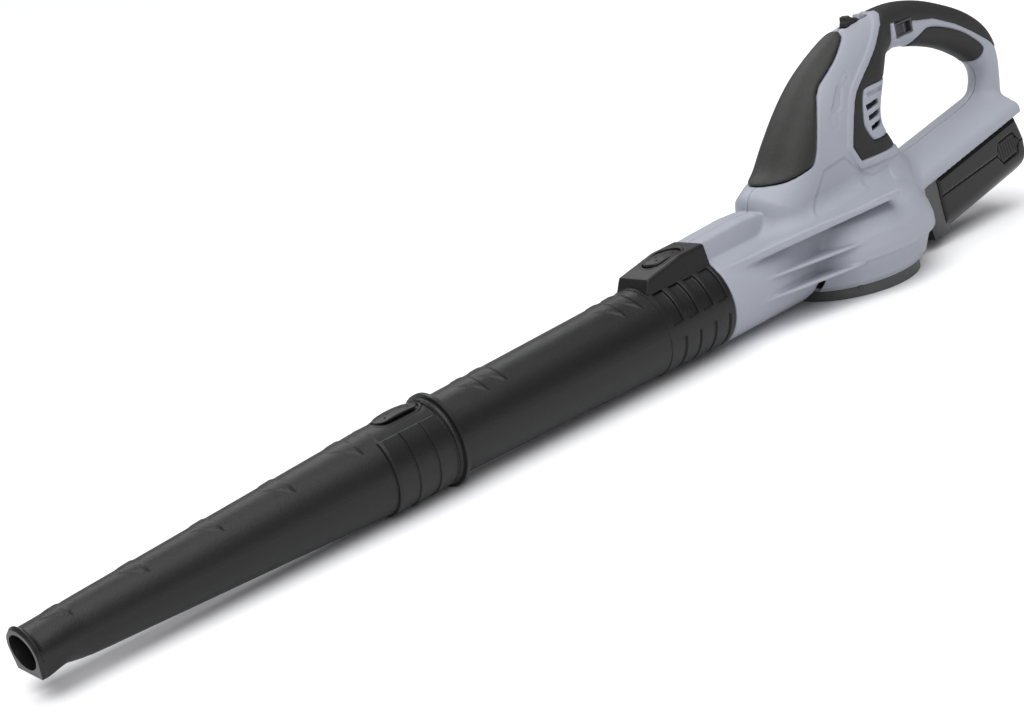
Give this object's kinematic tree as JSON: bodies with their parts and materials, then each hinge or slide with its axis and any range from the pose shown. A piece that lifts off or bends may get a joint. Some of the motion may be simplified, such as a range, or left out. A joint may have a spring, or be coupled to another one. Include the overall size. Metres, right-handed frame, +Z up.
{
  "type": "leaf blower",
  "caption": "Cordless hand-held leaf blower: long two-piece black tube, grey round fan housing, loop handle with soft grips and slide-on battery.",
  "frame": {"origin": "on the surface the blower lies on, under the middle of its bounding box", "axes": "+X from the nozzle towards the battery, +Z up, -Y is the user's left side, where the on/off rocker is"},
  "size_m": [0.9902, 0.152, 0.2102],
  "materials": {
    "housing_grey": "light bluish grey moulded plastic, fine satin texture",
    "soft_grip": "dark grey overmoulded soft grip, fine grain",
    "hood_dark": "dark warm grey textured plastic",
    "tube_black": "black satin moulded plastic",
    "black_plastic": "black moulded plastic",
    "battery_gloss": "glossy black plastic",
    "screw_steel": "zinc plated steel",
    "motor_steel": "pressed steel",
    "inner_plastic": "glass filled nylon",
    "seal_rubber": "black rubber",
    "contact_brass": "tinned brass",
    "circuit_board": "green circuit board",
    "cell_wrap": "shrink wrap sleeve",
    "wire_sleeve": "wire insulation"
  },
  "bodies": {
    "housing": {"left_shell": "housing_grey", "right_shell": "housing_grey", "left_grip": "soft_grip", "right_grip": "soft_grip", "palm_grip": "soft_grip", "front_hood": "hood_dark", "motor_vent": "housing_grey", "case_screws": "screw_steel", "bottom_cover": "housing_grey", "cover_screws": "screw_steel", "intake_grille": "black_plastic", "fan_partition": "inner_plastic", "motor_can": "motor_steel", "motor_end_bell": "inner_plastic", "lower_bearing": "screw_steel", "upper_bearing": "screw_steel", "motor_magnets": "motor_steel", "motor_screws": "screw_steel", "speed_sensor": "black_plastic", "switch_body": "black_plastic", "battery_dock": "black_plastic", "battery_socket_front": "black_plastic", "battery_terminals": "contact_brass", "control_board": "circuit_board", "board_parts": "circuit_board", "wiring_harness": "wire_sleeve", "outlet_sleeve": "inner_plastic", "tube_seal": "seal_rubber"},
    "fan": {"motor_shaft": "screw_steel", "motor_rotor": "motor_steel", "impeller": "inner_plastic", "impeller_nut": "screw_steel"},
    "lever": {"speed_lever": "black_plastic"},
    "rocker_cap": {"rocker": "black_plastic"},
    "tube": {"main_tube": "tube_black", "tube_button_spring": "screw_steel"},
    "tube_latch": {"tube_button": "tube_black"},
    "nozzle_end": {"nozzle": "tube_black"},
    "nozzle_latch": {"nozzle_button": "tube_black"},
    "battery": {"battery_upper_case": "battery_gloss", "battery_lower_case": "battery_gloss", "battery_cells": "cell_wrap", "battery_board": "circuit_board", "battery_contacts": "contact_brass"},
    "battery_latch_left": {"battery_button_left": "battery_gloss"},
    "battery_latch_right": {"battery_button_right": "battery_gloss"}
  },
  "joints": [
    {"name": "fan_spin", "type": "hinge", "parent": "housing", "child": "fan", "pos_m": [0.27312, 0, 0.04398], "axis": [-0.0183, 0, 0.9998], "continuous": true},
    {"name": "lever_turn", "type": "hinge", "parent": "housing", "child": "lever", "pos_m": [0.33244, 0, 0.19109], "axis": [0, 1, 0], "range_deg": [0, 35]},
    {"name": "rocker_tilt", "type": "hinge", "parent": "housing", "child": "rocker_cap", "pos_m": [0.37455, -0.014, 0.18537], "axis": [-0.0183, 0, 0.9998], "range_deg": [-18, 0]},
    {"name": "tube_slide", "type": "slide", "parent": "housing", "child": "tube", "axis": [-0.9998, 0, -0.0183], "range_m": [0, 0.08]},
    {"name": "tube_button_press", "type": "slide", "parent": "tube", "child": "tube_latch", "axis": [0.0183, 0, -0.9998], "range_m": [0, 0.0025], "stiffness_N_per_m": 900, "springref_m": -0.001, "deforming": ["tube_button_spring"]},
    {"name": "nozzle_slide", "type": "slide", "parent": "tube", "child": "nozzle_end", "axis": [-0.9998, 0, -0.0183], "range_m": [0, 0.06]},
    {"name": "nozzle_button_press", "type": "slide", "parent": "nozzle_end", "child": "nozzle_latch", "axis": [0.0183, 0, -0.9998], "range_m": [0, 0.0012], "stiffness_N_per_m": 900, "springref_m": -0.0005},
    {"name": "battery_slide", "type": "slide", "parent": "housing", "child": "battery", "axis": [0.9831, 0, 0.1831], "range_m": [0, 0.12]},
    {"name": "battery_button_left_press", "type": "slide", "parent": "battery", "child": "battery_latch_left", "axis": [0, 1, 0], "range_m": [0, 0.002], "stiffness_N_per_m": 900, "springref_m": -0.0005},
    {"name": "battery_button_right_press", "type": "slide", "parent": "battery", "child": "battery_latch_right", "axis": [0, -1, 0], "range_m": [0, 0.002], "stiffness_N_per_m": 900, "springref_m": -0.0005}
  ]
}
